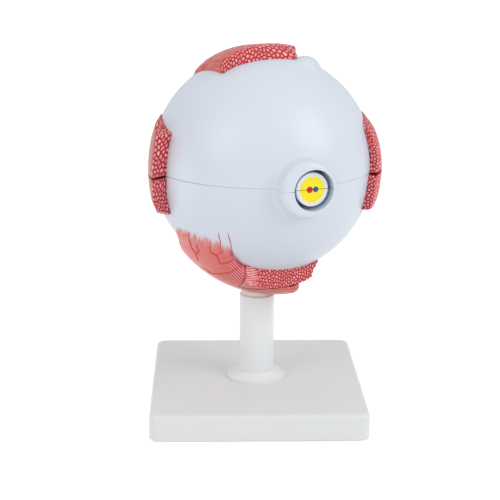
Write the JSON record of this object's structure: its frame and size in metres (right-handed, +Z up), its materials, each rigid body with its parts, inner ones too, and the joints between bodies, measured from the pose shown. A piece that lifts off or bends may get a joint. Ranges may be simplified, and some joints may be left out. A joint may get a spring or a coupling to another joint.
{
  "type": "eye anatomy model",
  "caption": "Hollow model of a left eye with cut muscle stubs and an optic nerve, opening in halves round its inner pieces, turning on a post over a square base.",
  "frame": {"origin": "centre of the underside, on the table", "axes": "+Z up along the post, +Y the way the eye looks, +X towards the nose side"},
  "size_m": [0.1293, 0.1376, 0.2083],
  "materials": {
    "stand_white": "satin",
    "pad_rubber": "matte",
    "zinc_steel": "satin",
    "pin_steel": "satin",
    "nylon": "satin",
    "sclera_white": "gloss",
    "muscle": "satin",
    "tendon_white": "gloss",
    "cornea_clear": "gloss",
    "choroid_brown": "satin",
    "retina_orange": "satin",
    "ciliary_brown": "satin",
    "iris_paint": "satin",
    "sheath_white": "satin",
    "nerve_yellow": "satin",
    "artery_red": "satin",
    "vein_blue": "satin",
    "vitreous_clear": "gloss",
    "lens_clear": "gloss"
  },
  "bodies": {
    "stand": {"base_plate": "stand_white", "base_pad": "pad_rubber", "support_post": "stand_white", "post_flange": "stand_white", "post_washer": "zinc_steel", "post_screw": "zinc_steel", "post_spigot": "nylon"},
    "eyeball_lower": {"sclera_lower": "sclera_white", "socket_bush": "nylon", "locating_pins": "pin_steel", "lateral_rectus_lower": "muscle", "medial_rectus_lower": "muscle", "inferior_rectus": "muscle", "inferior_oblique": "muscle"},
    "eyeball_upper": {"sclera_upper": "sclera_white", "cornea": "cornea_clear", "superior_rectus": "muscle", "superior_oblique_tendon": "tendon_white", "lateral_rectus_upper": "muscle", "medial_rectus_upper": "muscle"},
    "choroid_lower": {"choroid_lower": "choroid_brown", "retina_lower": "retina_orange", "ciliary_body_lower": "ciliary_brown", "iris_lower": "iris_paint", "nerve_sheath_lower": "sheath_white", "nerve_core_lower": "nerve_yellow", "retinal_artery_lower": "artery_red", "retinal_vein_lower": "vein_blue"},
    "choroid_upper": {"choroid_upper": "choroid_brown", "retina_upper": "retina_orange", "ciliary_body_upper": "ciliary_brown", "iris_upper": "iris_paint", "nerve_sheath_upper": "sheath_white", "nerve_core_upper": "nerve_yellow", "retinal_artery_upper": "artery_red", "retinal_vein_upper": "vein_blue"},
    "vitreous": {"vitreous_body": "vitreous_clear"},
    "lens_piece": {"lens": "lens_clear"}
  },
  "joints": [
    {"name": "eye_swivel", "type": "hinge", "parent": "stand", "child": "eyeball_lower", "pos_m": [0, 0, 0.0659], "axis": [0, 0, 1], "continuous": true},
    {"name": "upper_half_lift", "type": "slide", "parent": "eyeball_lower", "child": "eyeball_upper", "axis": [0, 0, 1], "range_m": [0, 0.27]},
    {"name": "lower_choroid_lift", "type": "slide", "parent": "eyeball_lower", "child": "choroid_lower", "axis": [0, 0, 1], "range_m": [0, 0.0648]},
    {"name": "vitreous_lift", "type": "slide", "parent": "eyeball_lower", "child": "vitreous", "axis": [0, 0, 1], "range_m": [0, 0.1296]},
    {"name": "upper_choroid_lift", "type": "slide", "parent": "eyeball_lower", "child": "choroid_upper", "axis": [0, 0, 1], "range_m": [0, 0.1998]},
    {"name": "lens_out", "type": "slide", "parent": "vitreous", "child": "lens_piece", "axis": [0, 1, 0], "range_m": [0, 0.01215]}
  ],
  "couplings": [
    {"joint": "lower_choroid_lift", "follows": "upper_half_lift", "ratio": 0.24},
    {"joint": "vitreous_lift", "follows": "upper_half_lift", "ratio": 0.48},
    {"joint": "upper_choroid_lift", "follows": "upper_half_lift", "ratio": 0.74},
    {"joint": "lens_out", "follows": "upper_half_lift", "ratio": 0.045}
  ]
}
